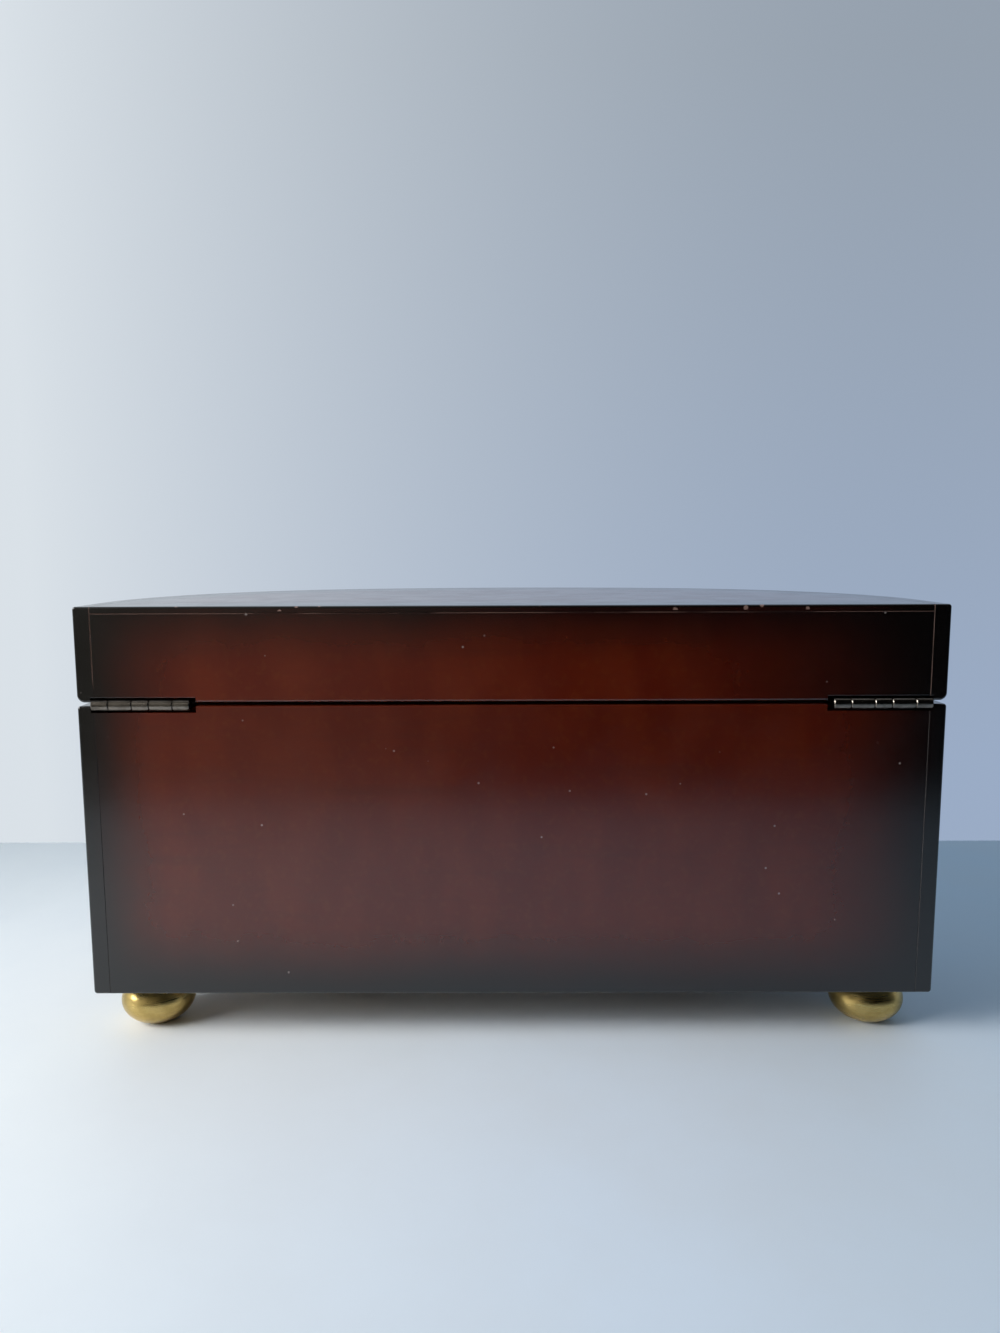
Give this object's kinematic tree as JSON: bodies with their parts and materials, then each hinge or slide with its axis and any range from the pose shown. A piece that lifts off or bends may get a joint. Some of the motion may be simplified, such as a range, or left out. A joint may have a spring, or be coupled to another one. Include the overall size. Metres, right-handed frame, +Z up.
{
  "type": "jewelry box",
  "caption": "Half-moon jewelry box with a flat back, bowed front, back-hinged lid with a mirror inside, lift-out tray with ring rolls, lined lower space and round brass feet.",
  "frame": {"origin": "on the surface the feet stand on, at the middle of the box's length and depth", "axes": "+Z up, +X along the flat back, +Y from the flat back to the bowed front"},
  "size_m": [0.305, 0.141, 0.1595],
  "materials": {
    "lacquered_wood": "dark cherry lacquer, satin gloss, shaded to near black at the edges",
    "base_panel": "stained panel, matt",
    "brass": "satin antique brass",
    "dark_nickel": "dull dark nickel",
    "screw_steel": "plain steel",
    "suede_board": "short suede nap on board",
    "suede_pad": "short suede nap on foam",
    "ribbon": "satin ribbon",
    "felt": "felt",
    "mirror_glass": "silvered glass"
  },
  "bodies": {
    "case": {"case_wall": "lacquered_wood", "case_back": "lacquered_wood", "case_bottom": "base_panel", "lining_board": "suede_board", "case_lining": "suede_board", "floor_pad": "suede_pad", "divider_left": "suede_board", "divider_right": "suede_board", "foot_back_left": "brass", "foot_back_right": "brass", "foot_front_left": "brass", "foot_front_right": "brass", "foot_screws": "screw_steel", "rim_bumpers": "felt", "hinge_left_case_leaf": "dark_nickel", "hinge_right_case_leaf": "dark_nickel", "hinge_left_pin": "dark_nickel", "hinge_right_pin": "dark_nickel", "case_hinge_screws": "screw_steel"},
    "lid": {"lid_wall": "lacquered_wood", "lid_rail": "lacquered_wood", "lid_top": "lacquered_wood", "lid_backing": "suede_board", "lid_lining": "suede_board", "mirror": "mirror_glass", "mirror_surround": "suede_board", "hinge_left_lid_leaf": "dark_nickel", "hinge_right_lid_leaf": "dark_nickel", "lid_hinge_screws": "screw_steel"},
    "tray": {"tray_wall": "suede_board", "tray_floor": "suede_board", "tray_floor_lining": "suede_pad", "tray_cross_left": "suede_board", "tray_cross_right": "suede_board", "tray_partition_left": "suede_board", "tray_partition_right": "suede_board", "ring_roll_1": "suede_pad", "ring_roll_2": "suede_pad", "ring_roll_3": "suede_pad", "ring_roll_4": "suede_pad", "ring_roll_5": "suede_pad", "ring_roll_6": "suede_pad", "ring_roll_7": "suede_pad", "ring_roll_8": "suede_pad", "tray_pull_left": "ribbon", "tray_pull_right": "ribbon"}
  },
  "joints": [
    {"name": "lid_hinge", "type": "hinge", "parent": "case", "child": "lid", "pos_m": [0, -0.0684, 0.1248], "axis": [1, 0, 0], "range_deg": [0, 95]},
    {"name": "tray_lift", "type": "slide", "parent": "case", "child": "tray", "axis": [0, 0, 1], "range_m": [0, 0.022]}
  ]
}
